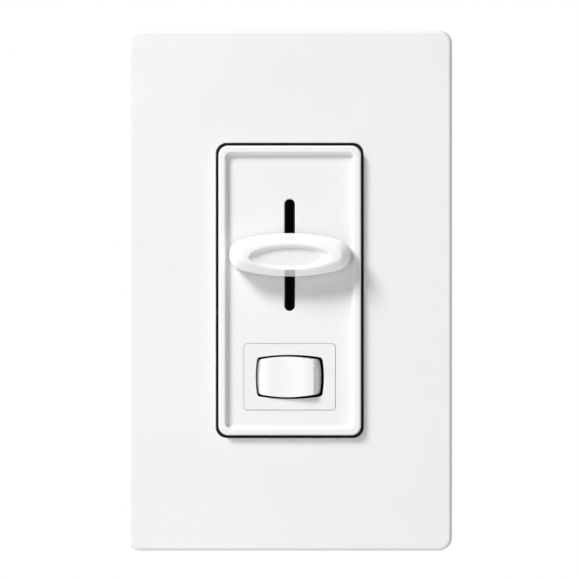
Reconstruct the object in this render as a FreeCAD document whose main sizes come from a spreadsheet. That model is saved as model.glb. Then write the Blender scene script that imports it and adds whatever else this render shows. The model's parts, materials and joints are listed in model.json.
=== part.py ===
"""Slide dimmer with a left/right rocker switch, its cover plate and its inner works.

Millimetres. X runs to the right, Z up, and Y into the wall. The wall surface is the plane Y = 0.
Sizes that run out of the wall are called "forward" and are measured along -Y.
"""
import FreeCAD, Part
import math
import os

import Sketcher

Vector = FreeCAD.Vector
doc = FreeCAD.newDocument("slide_dimmer")

SIZES = {
    # cover plate and its carrier
    "plate_width": 74.0,
    "plate_height": 118.8,
    "plate_front": 7.6,
    "plate_corner": 3.0,
    "plate_wall": 2.0,
    "plate_skin": 1.8,
    "plate_edge_round": 0.9,
    "opening_width": 33.7,
    "opening_height": 67.3,
    "opening_corner": 2.5,
    "adapter_width": 68.0,
    "adapter_height": 112.0,
    "adapter_back": 1.6,
    "adapter_front": 3.2,
    "adapter_opening_width": 42.0,
    "adapter_opening_height": 70.0,
    # mounting strap
    "yoke_width": 44.0,
    "yoke_height": 106.7,
    "yoke_front": 1.6,
    "fin_span": 60.0,
    "fin_height": 58.0,
    "box_screw_spacing": 83.3,
    "plate_screw_spacing": 96.8,
    "thread_radius": 1.75,
    "ground_across": -14.5,
    "ground_up": -38.5,
    # bezel
    "bezel_width": 32.4,
    "bezel_height": 65.9,
    "bezel_corner": 2.2,
    "bezel_front": 9.3,
    "rim": 1.5,
    "recess_corner": 1.3,
    "wall_slant": 14.0,
    "cove_round": 0.75,
    "panel_front": 8.0,
    "panel_skin": 1.6,
    "bezel_wall": 1.6,
    "hook_across": 15.4,
    "hook_up": 25.0,
    "collar_wall": 0.52,
    "collar_front": 7.0,
    # slot, lever and knob
    "slot_width": 2.4,
    "slot_height": 25.5,
    "slide_up": 8.08,
    "slide_travel": 20.0,
    "lever_thick": 1.2,
    "lever_width": 5.0,
    "knob_width": 27.4,
    "knob_height": 9.8,
    "knob_end_height": 7.0,
    "knob_corner": 2.7,
    "knob_back": 8.75,
    "knob_shoulder": 12.9,
    "knob_front": 14.3,
    "knob_facet": 2.0,
    "knob_wall": 1.9,
    "knob_hollow": 12.0,
    "dish_half_width": 9.3,
    "dish_half_height": 2.8,
    "dish_drop": 1.6,
    "dish_depth": 1.1,
    "dish_below": 0.5,
    # slide potentiometer
    "pot_width": 9.0,
    "pot_height": 35.0,
    "pot_front": -2.0,
    "pot_skin": 0.4,
    # circuit board
    "board_width": 38.6,
    "board_height": 62.6,
    "board_front": -9.0,
    "board_back": -10.6,
    "pin_radius": 0.4,
    "pin_hole_radius": 0.55,
    # rocker switch
    "switch_up": -19.7,
    "insert_width": 20.8,
    "insert_height": 15.1,
    "insert_corner": 0.9,
    "insert_gap": 0.08,
    "switch_face_thick": 0.6,
    "switch_width": 24.4,
    "switch_height": 16.5,
    "switch_ceiling": 5.6,
    "switch_step": 6.3,
    "cavity_width": 21.4,
    "cavity_height": 11.6,
    "pivot_forward": 1.5,
    "pivot_radius": 1.2,
    "pivot_hole_radius": 1.26,
    "rocker_half_width": 6.98,
    "rocker_foot_width": 7.6,
    "rocker_foot": 4.6,
    "rocker_top_width": 6.2,
    "rocker_top": 8.0,
    "rocker_half_height": 4.6,
    "rocker_bow_across": 0.28,
    "rocker_bow_up": 0.52,
    "rocker_corner": 0.7,
    "rocker_gap_across": 0.8,
    "rocker_gap_up": 0.44,
    "rocker_tilt": 5.0,
    "crest_across": 4.4,
    "crest_forward": 7.5,
    "rocker_dip": 0.28,
    "end_slope": 8.0,
    "crest_round": 9.0,
    "end_round": 1.1,
    "plunger_radius": 1.5,
    "plunger_reach": 5.6,
    "spring_pitch": 0.78,
    "spring_length": 3.85,
    "contact_slope": 12.7,
    "contact_arm": 6.4,
    "contact_tilt": 3.75,
    "contact_axis": -4.8,
    # back cover
    "cover_width": 42.0,
    "cover_height": 66.0,
    "cover_depth": 28.0,
    "cover_wall": 1.5,
    "cover_corner": 2.5,
    "rivet_across": 18.7,
    "rivet_up": 30.0,
    "lead_hole_radius": 1.8,
    "lead_pitch": 9.0,
    "lead_up": -25.0,
    # power parts
    "triac_across": 12.0,
    "triac_width": 10.2,
    "triac_tab_hole_up": 6.6,
    "choke_across": -8.6,
    "choke_up": 15.0,
}

sheet = doc.addObject("Spreadsheet::Sheet", "dims")
for row, (alias, value) in enumerate(SIZES.items(), 1):
    sheet.set(f"A{row}", alias)
    sheet.set(f"B{row}", str(value))
    sheet.setAlias(f"B{row}", alias)
doc.recompute()

parts = []


def size(expression):
    """The present value of an expression on the size sheet."""
    return float(sheet.evalExpression(str(expression).replace("dims.", "")))


def new_body(label, across="0", forward="0", up="0"):
    """An empty body whose origin sits at the given place."""
    body = doc.addObject("PartDesign::Body", label)
    body.Label = label
    body.setExpression("Placement.Base.x", across)
    body.setExpression("Placement.Base.y", f"-({forward})")
    body.setExpression("Placement.Base.z", up)
    parts.append(body)
    return body


def new_sketch(body, name, plane, offset="0"):
    """A sketch on one of the body's own origin planes, lifted along the plane's normal."""
    sketch = body.newObject("Sketcher::SketchObject", f"{body.Label}_{name}")
    plane_object = next(item for item in body.Origin.OriginFeatures if item.Role == plane)
    sketch.AttachmentSupport = [(plane_object, "")]
    sketch.MapMode = "FlatFace"
    sketch.setExpression("AttachmentOffset.Base.z", str(offset))
    return sketch


def front_sketch(body, name, forward="0"):
    """Seen from the front: X across, Z up."""
    return new_sketch(body, name, "XZ_Plane", forward)


def plan_sketch(body, name, up="0"):
    """Seen from above: X across, Y into the wall."""
    return new_sketch(body, name, "XY_Plane", up)


def side_sketch(body, name, across="0"):
    """Seen from the right: Y into the wall, Z up."""
    return new_sketch(body, name, "YZ_Plane", across)


def add_dimension(sketch, name, expression, *constraint):
    """A constraint whose value follows the size sheet."""
    index = sketch.addConstraint(Sketcher.Constraint(*constraint, size(expression)))
    sketch.renameConstraint(index, name)
    sketch.setExpression(f"Constraints.{name}", str(expression))


def arc_through(start, end, radius, bulge):
    """An arc between two points. A bulge of +1 swells to the right of the way from start to end."""
    chord = end - start
    sideways = Vector(-chord.y, chord.x, 0).normalize()
    sagitta_side = math.sqrt(max(radius ** 2 - chord.Length ** 2 / 4, 0))
    centre = (start + end) / 2 + sideways * sagitta_side * bulge
    first, last = (start, end) if bulge > 0 else (end, start)
    angles = [math.atan2(point.y - centre.y, point.x - centre.x) for point in (first, last)]
    if angles[1] < angles[0]:
        angles[1] += 2 * math.pi
    return Part.ArcOfCircle(Part.Circle(centre, Vector(0, 0, 1), radius), *angles)


def outline(sketch, corners, arcs=None):
    """A closed outline through the corners. arcs gives (radius, bulge) for the edges that are arcs."""
    arcs = arcs or {}
    points = [Vector(size(across), size(up), 0) for across, up in corners]
    count = len(points)
    first_edge = sketch.GeometryCount
    starts = []
    for number in range(count):
        start, end = points[number], points[(number + 1) % count]
        if number in arcs:
            radius, bulge = arcs[number]
            sketch.addGeometry(arc_through(start, end, size(radius), bulge), False)
            starts.append((1, 2) if bulge > 0 else (2, 1))
        else:
            sketch.addGeometry(Part.LineSegment(start, end), False)
            starts.append((1, 2))
    for number in range(count):
        edge = first_edge + number
        following = (number + 1) % count
        sketch.addConstraint(Sketcher.Constraint(
            "Coincident", edge, starts[number][1], first_edge + following, starts[following][0]))
        across, up = corners[number]
        add_dimension(sketch, f"Across{edge}", across, "DistanceX", -1, 1, edge, starts[number][0])
        add_dimension(sketch, f"Up{edge}", up, "DistanceY", -1, 1, edge, starts[number][0])
        if number in arcs:
            add_dimension(sketch, f"Arc{edge}", arcs[number][0], "Radius", edge)


def rectangle(sketch, width, height, across="0", up="0"):
    """A sharp-cornered rectangle about a centre."""
    half_width, half_height = f"({width}) / 2", f"({height}) / 2"
    outline(sketch, [(f"{across} - {half_width}", f"{up} - {half_height}"),
                     (f"{across} + {half_width}", f"{up} - {half_height}"),
                     (f"{across} + {half_width}", f"{up} + {half_height}"),
                     (f"{across} - {half_width}", f"{up} + {half_height}")])


def rounded_rectangle(sketch, width, height, radius, across="0", up="0"):
    """A rectangle with four equal round corners about a centre."""
    half_wide, half_tall, r = size(width) / 2, size(height) / 2, size(radius)
    middle_x, middle_y = size(across), size(up)
    left, right = middle_x - half_wide, middle_x + half_wide
    bottom, top = middle_y - half_tall, middle_y + half_tall
    first = sketch.GeometryCount
    quarter = math.pi / 2
    axis = Vector(0, 0, 1)
    corners = [(right - r, bottom + r, -quarter), (right - r, top - r, 0),
               (left + r, top - r, quarter), (left + r, bottom + r, 2 * quarter)]
    sides = [((left + r, bottom), (right - r, bottom)), ((right, bottom + r), (right, top - r)),
             ((right - r, top), (left + r, top)), ((left, top - r), (left, bottom + r))]
    for (start, end), (centre_x, centre_y, angle) in zip(sides, corners):
        sketch.addGeometry(Part.LineSegment(Vector(*start, 0), Vector(*end, 0)), False)
        circle = Part.Circle(Vector(centre_x, centre_y, 0), axis, r)
        sketch.addGeometry(Part.ArcOfCircle(circle, angle, angle + quarter), False)
    for step in range(8):
        following = first + (step + 1) % 8
        sketch.addConstraint(Sketcher.Constraint("Tangent", first + step, 2, following, 1))
    for step, kind in ((0, "Horizontal"), (4, "Horizontal"), (2, "Vertical"), (6, "Vertical")):
        sketch.addConstraint(Sketcher.Constraint(kind, first + step))
    for step in (3, 5, 7):
        sketch.addConstraint(Sketcher.Constraint("Equal", first + 1, first + step))
    add_dimension(sketch, f"Radius{first}", radius, "Radius", first + 1)
    add_dimension(sketch, f"Width{first}", width, "DistanceX", first + 6, 1, first + 2, 1)
    add_dimension(sketch, f"Height{first}", height, "DistanceY", first, 1, first + 4, 1)
    add_dimension(sketch, f"Left{first}", f"{across} - ({width}) / 2", "DistanceX", -1, 1, first + 6, 1)
    add_dimension(sketch, f"Bottom{first}", f"{up} - ({height}) / 2", "DistanceY", -1, 1, first, 1)


def circle(sketch, radius, across="0", up="0"):
    """A circle about a centre."""
    centre = Vector(size(across), size(up), 0)
    index = sketch.addGeometry(Part.Circle(centre, Vector(0, 0, 1), size(radius)), False)
    add_dimension(sketch, f"Radius{index}", radius, "Radius", index)
    add_dimension(sketch, f"Across{index}", across, "DistanceX", -1, 1, index, 3)
    add_dimension(sketch, f"Up{index}", up, "DistanceY", -1, 1, index, 3)


def pad(body, name, sketch, length):
    """Material added from the sketch along its normal."""
    feature = body.newObject("PartDesign::Pad", f"{body.Label}_{name}")
    feature.Profile = sketch
    feature.setExpression("Length", str(length))
    sketch.Visibility = False
    doc.recompute()


def pocket(body, name, sketch, length, along_normal=False, taper=None):
    """Material cut away behind the sketch, or in front of it with along_normal."""
    volume_before = body.Shape.Volume
    feature = body.newObject("PartDesign::Pocket", f"{body.Label}_{name}")
    feature.Profile = sketch
    feature.setExpression("Length", str(length))
    feature.Reversed = along_normal
    if taper:
        feature.setExpression("TaperAngle", taper)
    sketch.Visibility = False
    doc.recompute()
    if not body.Shape.Volume < volume_before - 1e-6:
        raise ValueError(f"{feature.Name} cut nothing")


def revolve(body, name, sketch, axis, kind="Revolution", angle="360"):
    """A solid, or with kind Groove a cut, turned about one of the sketch's axes."""
    feature = body.newObject(f"PartDesign::{kind}", f"{body.Label}_{name}")
    feature.Profile = sketch
    feature.ReferenceAxis = (sketch, [axis])
    feature.setExpression("Angle", angle)
    sketch.Visibility = False
    doc.recompute()


def ruled_loft(body, name, first, last):
    """Material between two sketches, with straight sides."""
    loft = body.newObject("PartDesign::AdditiveLoft", f"{body.Label}_{name}")
    loft.Profile = first
    loft.Sections = [last]
    loft.Ruled = True
    first.Visibility = last.Visibility = False
    doc.recompute()


def edges_where(shape, test):
    """Names of the edges whose two ends and middle all pass the test."""
    names = []
    for number, edge in enumerate(shape.Edges, 1):
        middle = edge.valueAt((edge.FirstParameter + edge.LastParameter) / 2)
        if all(test(point) for point in [middle] + [vertex.Point for vertex in edge.Vertexes]):
            names.append(f"Edge{number}")
    return names


def soften(body, name, test, amount, kind="Fillet"):
    """A fillet or chamfer on the edges that pass the test, in the body's own coordinates."""
    base = body.Tip
    names = edges_where(base.Shape, test)
    if not names:
        raise ValueError(f"{body.Label}_{name} found no edges")
    feature = body.newObject(f"PartDesign::{kind}", f"{body.Label}_{name}")
    feature.Base = (base, names)
    feature.setExpression("Radius" if kind == "Fillet" else "Size", str(amount))
    doc.recompute()


def at_forward(expression):
    """A test for points at one distance out of the wall."""
    place = -size(expression)
    return lambda point: abs(point.y - place) < 1e-4


def within(half_width, half_height, up="0"):
    """A test for points inside a centred rectangle seen from the front."""
    wide, tall, middle = size(half_width) + 1e-3, size(half_height) + 1e-3, size(up)
    return lambda point: abs(point.x) <= wide and abs(point.z - middle) <= tall


def both(*tests):
    """A test that holds when all the given tests hold."""
    return lambda point: all(test(point) for test in tests)


def not_inside(test):
    """The opposite of a test."""
    return lambda point: not test(point)


def slab(label, width, height, back, front, across="0", up="0", radius=None):
    """A flat plate between two distances out of the wall."""
    body = new_body(label, across, back, up)
    sketch = front_sketch(body, "outline")
    if radius:
        rounded_rectangle(sketch, width, height, radius)
    else:
        rectangle(sketch, width, height)
    pad(body, "plate", sketch, f"{front} - ({back})")
    return body


def turned(label, profile, across="0", up="0", forward="0", arcs=None):
    """A body turned about a line along Y. The profile is a list of (forward, radius)."""
    body = new_body(label, across, forward, up)
    sketch = side_sketch(body, "profile")
    outline(sketch, [(f"-({place})", radius) for place, radius in profile], arcs)
    revolve(body, "turning", sketch, "H_Axis")
    return body


def through_holes(body, name, holes, front, depth):
    """Round holes cut backwards from a front face. holes is a list of (radius, across, up)."""
    sketch = front_sketch(body, name, front)
    for radius, across, up in holes:
        circle(sketch, radius, across, up)
    pocket(body, f"{name}_cut", sketch, depth)


def driver_slot(body, front, width, length, depth):
    """A straight screwdriver slot."""
    sketch = front_sketch(body, "drive", front)
    rectangle(sketch, length, width)
    pocket(body, "drive_cut", sketch, depth)


# ---------------------------------------------------------------- cover plate

def build_wall_plate():
    body = new_body("wall_plate")
    sketch = front_sketch(body, "outline")
    rounded_rectangle(sketch, "dims.plate_width", "dims.plate_height", "dims.plate_corner")
    pad(body, "block", sketch, "dims.plate_front")
    sketch = front_sketch(body, "hollow")
    rounded_rectangle(sketch, "dims.plate_width - 2 * dims.plate_wall",
                      "dims.plate_height - 2 * dims.plate_wall", "dims.plate_corner - 1")
    pocket(body, "hollow_cut", sketch, "dims.plate_front - dims.plate_skin", along_normal=True)
    sketch = front_sketch(body, "collar", "dims.plate_front - dims.plate_skin - 1.4")
    rounded_rectangle(sketch, "dims.opening_width + 2.8", "dims.opening_height + 2.8",
                      "dims.opening_corner + 1.4")
    pad(body, "collar_ring", sketch, "1.5")
    sketch = front_sketch(body, "opening", "dims.plate_front")
    rounded_rectangle(sketch, "dims.opening_width", "dims.opening_height", "dims.opening_corner")
    pocket(body, "opening_cut", sketch, "dims.plate_front")
    inner_half_width = "dims.plate_width / 2 - dims.plate_wall"
    inner_half_height = "dims.plate_height / 2 - dims.plate_wall"
    sketch = front_sketch(body, "snaps", "0.5")
    for side in (-1, 1):
        rectangle(sketch, "1.9", "7", f"{side} * ({inner_half_width} - 0.75)", "32")
        rectangle(sketch, "1.9", "7", f"{side} * ({inner_half_width} - 0.75)", "-32")
        rectangle(sketch, "9", "1.9", "0", f"{side} * ({inner_half_height} - 0.75)")
    pad(body, "snap_ridges", sketch, "dims.adapter_back - 0.6")
    front_edge = at_forward("dims.plate_front")
    opening = within("dims.opening_width / 2", "dims.opening_height / 2")
    soften(body, "edge_round", both(front_edge, not_inside(opening)), "dims.plate_edge_round")
    soften(body, "opening_round", both(front_edge, opening), "0.25")


def build_plate_adapter():
    body = slab("plate_adapter", "dims.adapter_width", "dims.adapter_height",
                "dims.adapter_back", "dims.adapter_front", radius="2.0")
    thickness = "(dims.adapter_front - dims.adapter_back)"
    sketch = front_sketch(body, "opening", thickness)
    rounded_rectangle(sketch, "dims.adapter_opening_width", "dims.adapter_opening_height", "2.0")
    for side in (-1, 1):
        rounded_rectangle(sketch, "7.0", "40.0", "1.5", f"{side} * 27.5", "0")
    pocket(body, "opening_cut", sketch, thickness)
    heads = []
    for side in (-1, 1):
        heads.append(("4.4", "0", f"{side} * dims.box_screw_spacing / 2"))
        heads.append(("dims.thread_radius + 0.1", "0", f"{side} * dims.plate_screw_spacing / 2"))
    through_holes(body, "holes", heads, thickness, thickness)
    for place, side in (("top", 1), ("bottom", -1)):
        sketch = side_sketch(body, f"sink_{place}")
        sketch.setExpression("AttachmentOffset.Base.y", f"{side} * dims.plate_screw_spacing / 2")
        outline(sketch, [(f"-{thickness}", "0"), (f"-{thickness}", "3.35"), ("0", "1.8"),
                         ("0", "0")])
        revolve(body, f"sink_{place}_cut", sketch, "H_Axis", kind="Groove")


def build_flat_screw(place, side):
    body = turned(f"adapter_screw_{place}",
                  [("dims.adapter_front", "0"), ("dims.adapter_front", "3.2"),
                   ("dims.adapter_back + 0.1", "1.7"), ("-3.6", "1.7"), ("-4.2", "1.1"), ("-4.2", "0")],
                  up=f"{side} * dims.plate_screw_spacing / 2")
    driver_slot(body, "dims.adapter_front", "0.9", "8", "0.8")


# ---------------------------------------------------------------- mounting strap

def build_yoke():
    body = slab("yoke", "dims.yoke_width", "dims.yoke_height", "0", "dims.yoke_front", radius="3.0")
    sketch = front_sketch(body, "fins")
    rounded_rectangle(sketch, "dims.fin_span", "dims.fin_height", "2.0")
    pad(body, "fins_pad", sketch, "dims.yoke_front")
    front = "dims.yoke_front"
    sketch = front_sketch(body, "score", front)
    for side in (-1, 1):
        rectangle(sketch, "0.6", "dims.fin_height - 1", f"{side} * (dims.yoke_width / 2 + 0.6)", "0")
    pocket(body, "score_cut", sketch, "0.8")
    sketch = front_sketch(body, "windows", front)
    for side in (-1, 1):
        rounded_rectangle(sketch, "7.5", "4.0", "1.98", "0", f"{side} * dims.box_screw_spacing / 2")
        for end in (-1, 1):
            rectangle(sketch, "2.2", "5.8", f"{side} * dims.hook_across", f"{end} * dims.hook_up")
        rounded_rectangle(sketch, "4.0", "9.0", "1.9", f"{side} * (dims.fin_span / 2 - 4)", "0")
    rounded_rectangle(sketch, "dims.switch_width + 0.6", "dims.switch_height + 0.6", "1.2",
                      "0", "dims.switch_up")
    rounded_rectangle(sketch, "4.2", "31", "1.0", "0", "dims.slide_up")
    pocket(body, "windows_cut", sketch, front)
    holes = [("1.62", "dims.triac_across", "dims.triac_tab_hole_up"),
             ("dims.thread_radius + 0.05", "dims.ground_across", "dims.ground_up")]
    for side in (-1, 1):
        holes.append(("dims.thread_radius + 0.05", "0", f"{side} * dims.plate_screw_spacing / 2"))
        for end in (-1, 1):
            holes.append(("1.3", f"{side} * dims.rivet_across", f"{end} * dims.rivet_up"))
    through_holes(body, "holes", holes, front, front)


def build_box_screw(place, side):
    up = f"{side} * dims.box_screw_spacing / 2"
    front = "dims.yoke_front"
    body = turned(f"box_screw_{place}",
                  [(f"{front} + 2.1", "0"), (f"{front} + 2.1", "2.4"), (f"{front} + 1.3", "3.45"),
                   (front, "3.45"), (front, "1.5"), ("-0.45", "1.5"), ("-0.45", "dims.thread_radius"),
                   ("-19", "dims.thread_radius"), ("-19.7", "1.1"), ("-19.7", "0")], up=up)
    driver_slot(body, "dims.yoke_front + 2.1", "1.0", "8", "1.1")
    washer = slab(f"screw_washer_{place}", "9", "9", "-0.4", "0", up=up, radius="0.8")
    through_holes(washer, "hole", [("1.6", "0", "0")], "0.4", "0.4")


def build_ground_screw():
    body = turned("ground_screw", [("dims.yoke_front", "0"), ("dims.yoke_front", "dims.thread_radius"),
                                   ("0", "dims.thread_radius"), ("0", "4.0"), ("-1.4", "4.0"),
                                   ("-1.4", "3.2"), ("-3.2", "3.0"), ("-3.2", "0")],
                  "dims.ground_across", "dims.ground_up")
    sketch = front_sketch(body, "drive", "-3.2")
    rectangle(sketch, "8", "1.0")
    pocket(body, "drive_cut", sketch, "1.2", along_normal=True)


# ---------------------------------------------------------------- bezel

def build_front_bezel():
    body = new_body("front_bezel")
    front = "dims.bezel_front"
    sketch = front_sketch(body, "outline", "dims.yoke_front")
    rounded_rectangle(sketch, "dims.bezel_width", "dims.bezel_height", "dims.bezel_corner")
    pad(body, "block", sketch, f"{front} - dims.yoke_front")
    sketch = front_sketch(body, "recess", front)
    rounded_rectangle(sketch, "dims.bezel_width - 2 * dims.rim", "dims.bezel_height - 2 * dims.rim",
                      "dims.recess_corner")
    pocket(body, "recess_cut", sketch, f"{front} - dims.panel_front", taper="-dims.wall_slant")
    sketch = front_sketch(body, "hollow", "dims.yoke_front")
    rounded_rectangle(sketch, "dims.bezel_width - 2 * dims.bezel_wall",
                      "dims.bezel_height - 2 * dims.bezel_wall", "0.9")
    pocket(body, "hollow_cut", sketch, "dims.panel_front - dims.panel_skin - dims.yoke_front",
           along_normal=True)
    sketch = front_sketch(body, "openings", "dims.panel_front")
    rounded_rectangle(sketch, "dims.slot_width", "dims.slot_height", "dims.slot_width / 2 - 0.02",
                      "0", "dims.slide_up")
    rounded_rectangle(sketch, "dims.insert_width + 2 * dims.insert_gap",
                      "dims.insert_height + 2 * dims.insert_gap",
                      "dims.insert_corner + dims.insert_gap", "0", "dims.switch_up")
    pocket(body, "openings_cut", sketch, "dims.panel_skin + 1")
    sketch = front_sketch(body, "hooks", "-1.5")
    for side in (-1, 1):
        for end in (-1, 1):
            rectangle(sketch, "1.4", "5.0", f"{side} * dims.hook_across", f"{end} * dims.hook_up")
    pad(body, "hook_legs", sketch, "dims.yoke_front + 1.6")
    sketch = front_sketch(body, "catches", "-1.5")
    for side in (-1, 1):
        for end in (-1, 1):
            rectangle(sketch, "1.0", "5.0", f"{side} * (dims.hook_across + 0.9)",
                      f"{end} * dims.hook_up")
    pad(body, "hook_catches", sketch, "1.4")
    inner_edge = within("dims.bezel_width / 2 - dims.rim", "dims.bezel_height / 2 - dims.rim")
    rim_face = at_forward(front)
    soften(body, "rim_outer_round", both(rim_face, not_inside(inner_edge)), "0.45")
    soften(body, "rim_inner_round", both(rim_face, inner_edge), "0.25")
    on_panel = at_forward("dims.panel_front")
    inside_panel = within("13.2", "29.8")
    soften(body, "recess_fillet", both(on_panel, not_inside(inside_panel)), "dims.cove_round")
    slot_rim = within("dims.slot_width / 2", "dims.slot_height / 2", "dims.slide_up")
    soften(body, "slot_chamfer", both(on_panel, slot_rim), "0.18", kind="Chamfer")


def build_bezel_collar():
    body = slab("bezel_collar", "dims.bezel_width + 2 * dims.collar_wall",
                "dims.bezel_height + 2 * dims.collar_wall", "dims.yoke_front", "dims.collar_front",
                radius="dims.bezel_corner + dims.collar_wall")
    height = "dims.collar_front - dims.yoke_front"
    sketch = front_sketch(body, "bezel_seat", height)
    rounded_rectangle(sketch, "dims.bezel_width", "dims.bezel_height", "dims.bezel_corner")
    pocket(body, "bezel_seat_cut", sketch, height)


def build_slot_shield():
    body = slab("slot_shield", "8", "34", "dims.panel_front - dims.panel_skin - 0.5",
                "dims.panel_front - dims.panel_skin", up="dims.slide_up", radius="1.0")
    sketch = front_sketch(body, "slit", "0.5")
    rounded_rectangle(sketch, "1.7", "26.4", "0.8")
    pocket(body, "slit_cut", sketch, "0.5")


# ---------------------------------------------------------------- knob and lever

def lens(sketch, inset="0"):
    """The knob's outline, or one inside it: long arcs above and below, round corners, short ends."""
    run = "(dims.knob_width / 2 - dims.knob_corner)"
    rise = "((dims.knob_height - dims.knob_end_height) / 2)"
    long_radius = f"(({run} ^ 2 + {rise} ^ 2) / (2 * {rise}))"
    slope_sine = f"({run} / {long_radius})"
    slope_cosine = f"sqrt(1 - {slope_sine} ^ 2)"
    corner_radius = f"(dims.knob_corner / (1 - {slope_sine}) - {inset})"
    half_wide = f"(dims.knob_width / 2 - {inset})"
    half_run = f"({run} - {inset} * {slope_sine})"
    half_end = f"(dims.knob_end_height / 2 - {inset} * {slope_cosine})"
    half_straight = f"({half_end} - {corner_radius} * {slope_cosine})"
    long_arc, corner_arc = (f"{long_radius} - {inset}", 1), (corner_radius, 1)
    outline(sketch, [(f"-{half_run}", f"-{half_end}"), (half_run, f"-{half_end}"),
                     (half_wide, f"-{half_straight}"), (half_wide, half_straight),
                     (half_run, half_end), (f"-{half_run}", half_end),
                     (f"-{half_wide}", half_straight), (f"-{half_wide}", f"-{half_straight}")],
            {0: long_arc, 1: corner_arc, 3: corner_arc, 4: long_arc, 5: corner_arc, 7: corner_arc})


def build_slide_knob():
    body = new_body("slide_knob")
    sketch = front_sketch(body, "skirt", "dims.knob_back")
    lens(sketch)
    pad(body, "skirt_pad", sketch, "dims.knob_shoulder - dims.knob_back")
    base = front_sketch(body, "facet_base", "dims.knob_shoulder")
    lens(base)
    crown = front_sketch(body, "facet_top", "dims.knob_front")
    lens(crown, "dims.knob_facet")
    ruled_loft(body, "facets", base, crown)
    soften(body, "shoulder_round", at_forward("dims.knob_shoulder"), "1.0")
    soften(body, "front_round", at_forward("dims.knob_front"), "1.5")
    sketch = front_sketch(body, "hollow", "dims.knob_back")
    lens(sketch, "dims.knob_wall")
    pocket(body, "hollow_cut", sketch, "dims.knob_hollow - dims.knob_back", along_normal=True)
    sketch = front_sketch(body, "socket", "dims.knob_back + 0.5")
    rectangle(sketch, "4.4", "6.6")
    pad(body, "socket_block", sketch, "dims.knob_hollow - dims.knob_back - 0.4")
    sketch = front_sketch(body, "socket_hole", "dims.knob_back")
    rectangle(sketch, "dims.lever_thick + 0.04", "dims.lever_width + 0.04")
    pocket(body, "socket_cut", sketch, "dims.knob_hollow - dims.knob_back", along_normal=True)

    bowl = doc.addObject("Part::Ellipsoid", "dish_cutter")
    bowl.setExpression("Radius1", "dims.dish_drop")
    bowl.setExpression("Radius2", "dims.dish_half_width")
    bowl.setExpression("Radius3", "dims.dish_half_height")
    bowl.Angle2, bowl.Angle3 = 90, 360
    bowl.setExpression("Angle1", "-asin(dims.dish_depth / dims.dish_drop)")
    quarter_turn = FreeCAD.Rotation(Vector(1, 0, 0), 90)
    bowl.Placement = FreeCAD.Placement(Vector(0, 0, 0), quarter_turn)
    bowl.setExpression("Placement.Base.y", "-dims.knob_front")
    bowl.setExpression("Placement.Base.z", "-dims.dish_below")
    body.Placement = FreeCAD.Placement()
    body.setExpression("Placement.Base.z", None)
    cut = doc.addObject("Part::Cut", "slide_knob_dished")
    cut.Base, cut.Tool = body, bowl
    body.Label = "slide_knob_blank"
    cut.Label = "slide_knob"
    cut.setExpression("Placement.Base.z", "dims.slide_up")
    parts[-1] = cut


def build_slider_lever():
    body = slab("slider_lever", "dims.lever_thick", "dims.lever_width", "-4.5",
                "dims.knob_hollow - 0.1", up="dims.slide_up")
    sketch = front_sketch(body, "foot", "0")
    rectangle(sketch, "dims.lever_thick", "dims.lever_width + 1.6")
    pad(body, "foot_pad", sketch, "1.6")


# ---------------------------------------------------------------- slide potentiometer

def build_potentiometer():
    back, front = "dims.board_front", "dims.pot_front"
    skin = "dims.pot_skin"
    case = slab("pot_case", "dims.pot_width", "dims.pot_height", back, front,
                up="dims.slide_up", radius="0.6")
    sketch = front_sketch(case, "hollow")
    rectangle(sketch, f"dims.pot_width - 2 * {skin}", f"dims.pot_height - 2 * {skin}")
    pocket(case, "hollow_cut", sketch, f"{front} - {back} - {skin}", along_normal=True)
    sketch = front_sketch(case, "slot", f"{front} - {back}")
    rounded_rectangle(sketch, "2.0", "dims.slide_travel + 7.4", "0.95")
    pocket(case, "slot_cut", sketch, skin)

    track = slab("pot_track", f"dims.pot_width - 2 * {skin} - 0.1",
                 f"dims.pot_height - 2 * {skin} - 0.1", back, f"{back} + 1.2", up="dims.slide_up")
    through_holes(track, "pins", [("dims.pin_hole_radius", "-2.2", "-14.5"),
                                  ("dims.pin_hole_radius", "2.2", "-14.5"),
                                  ("dims.pin_hole_radius", "0", "14.5")], "1.2", "1.2")
    carriage = slab("pot_carriage", "7.4", "9.0", "-6.2", "-4.5", up="dims.slide_up", radius="0.4")
    sketch = front_sketch(carriage, "rails", "1.6")
    for side in (-1, 1):
        rectangle(sketch, "1.0", "7.0", f"{side} * 3.0", "0")
    pad(carriage, "rails_pad", sketch, "2.0")

    wiper = new_body("pot_wiper", "0", "0", "dims.slide_up")
    sketch = side_sketch(wiper, "strip", "-2.4")
    outline(sketch, [("6.2", "-4"), ("6.2", "4"), ("6.4", "4"), ("7.7", "0.4"), ("7.7", "-0.4"),
                     ("7.5", "-0.4"), ("7.5", "0.2"), ("6.4", "3.4"), ("6.4", "-4")])
    pad(wiper, "strip_pad", sketch, "4.8")
    for name, across, up in (("a", "-2.2", "-14.5"), ("b", "2.2", "-14.5"), ("c", "0", "14.5")):
        turned(f"pot_terminal_{name}",
               [(f"{back} + 1.4", "0"), (f"{back} + 1.4", "0.8"), (f"{back} + 1.2", "0.8"),
                (f"{back} + 1.2", "dims.pin_radius"), ("dims.board_back - 1.0", "dims.pin_radius"),
                ("dims.board_back - 1.0", "0")], across, f"dims.slide_up + {up}")


# ---------------------------------------------------------------- rocker switch

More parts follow.
